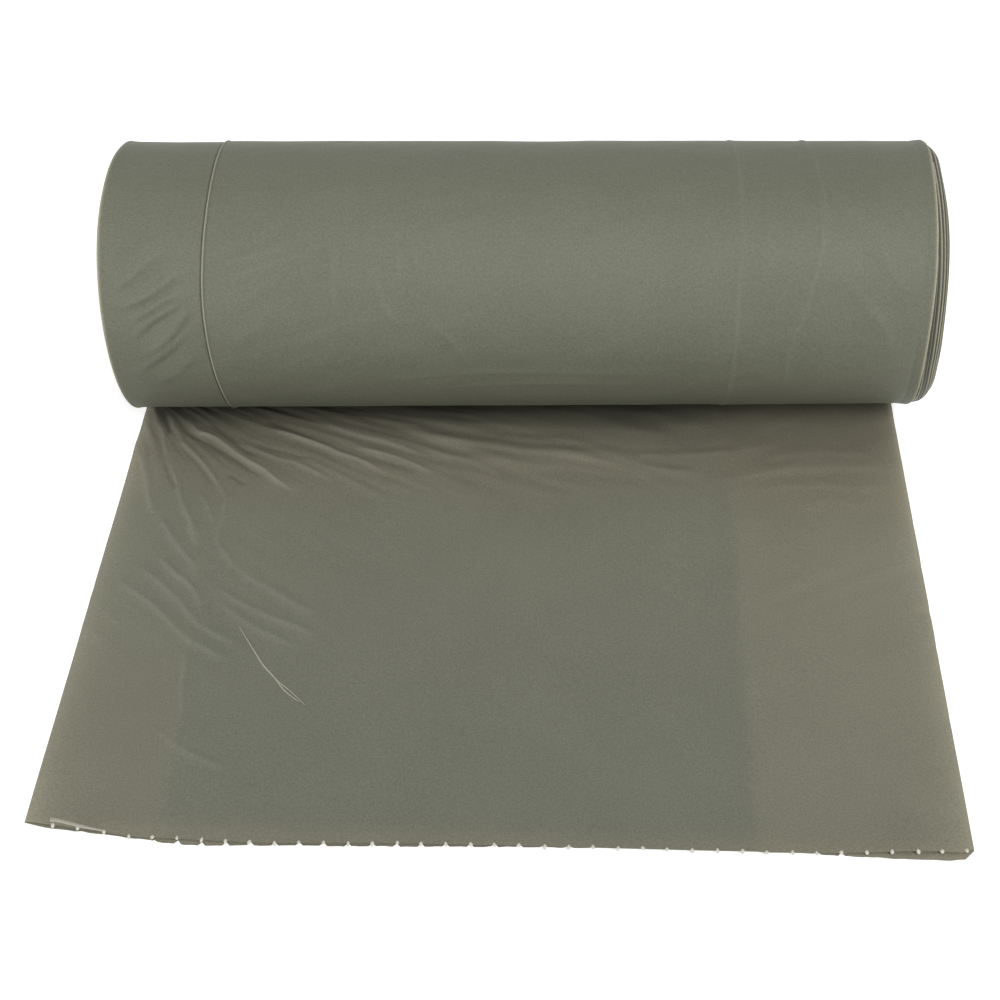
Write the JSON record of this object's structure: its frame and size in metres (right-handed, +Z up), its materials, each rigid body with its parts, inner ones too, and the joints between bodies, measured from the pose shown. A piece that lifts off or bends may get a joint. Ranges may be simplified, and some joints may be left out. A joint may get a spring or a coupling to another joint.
{
  "type": "bin bag roll",
  "caption": "Coreless roll of folded bin bags lying on its side, with the first bag drawn out flat in front of it to its torn perforated edge.",
  "frame": {"origin": "middle of the footprint, on the surface that the roll and its loose bag lie on", "axes": "+X along the roll, -Y towards the torn edge of the loose bag, +Z up"},
  "size_m": [0.4014, 0.3613, 0.1313],
  "materials": {
    "film": "thin blown polyethylene film, translucent olive grey, satin"
  },
  "bodies": {
    "root": {"bag_roll": "film"}
  },
  "joints": []
}
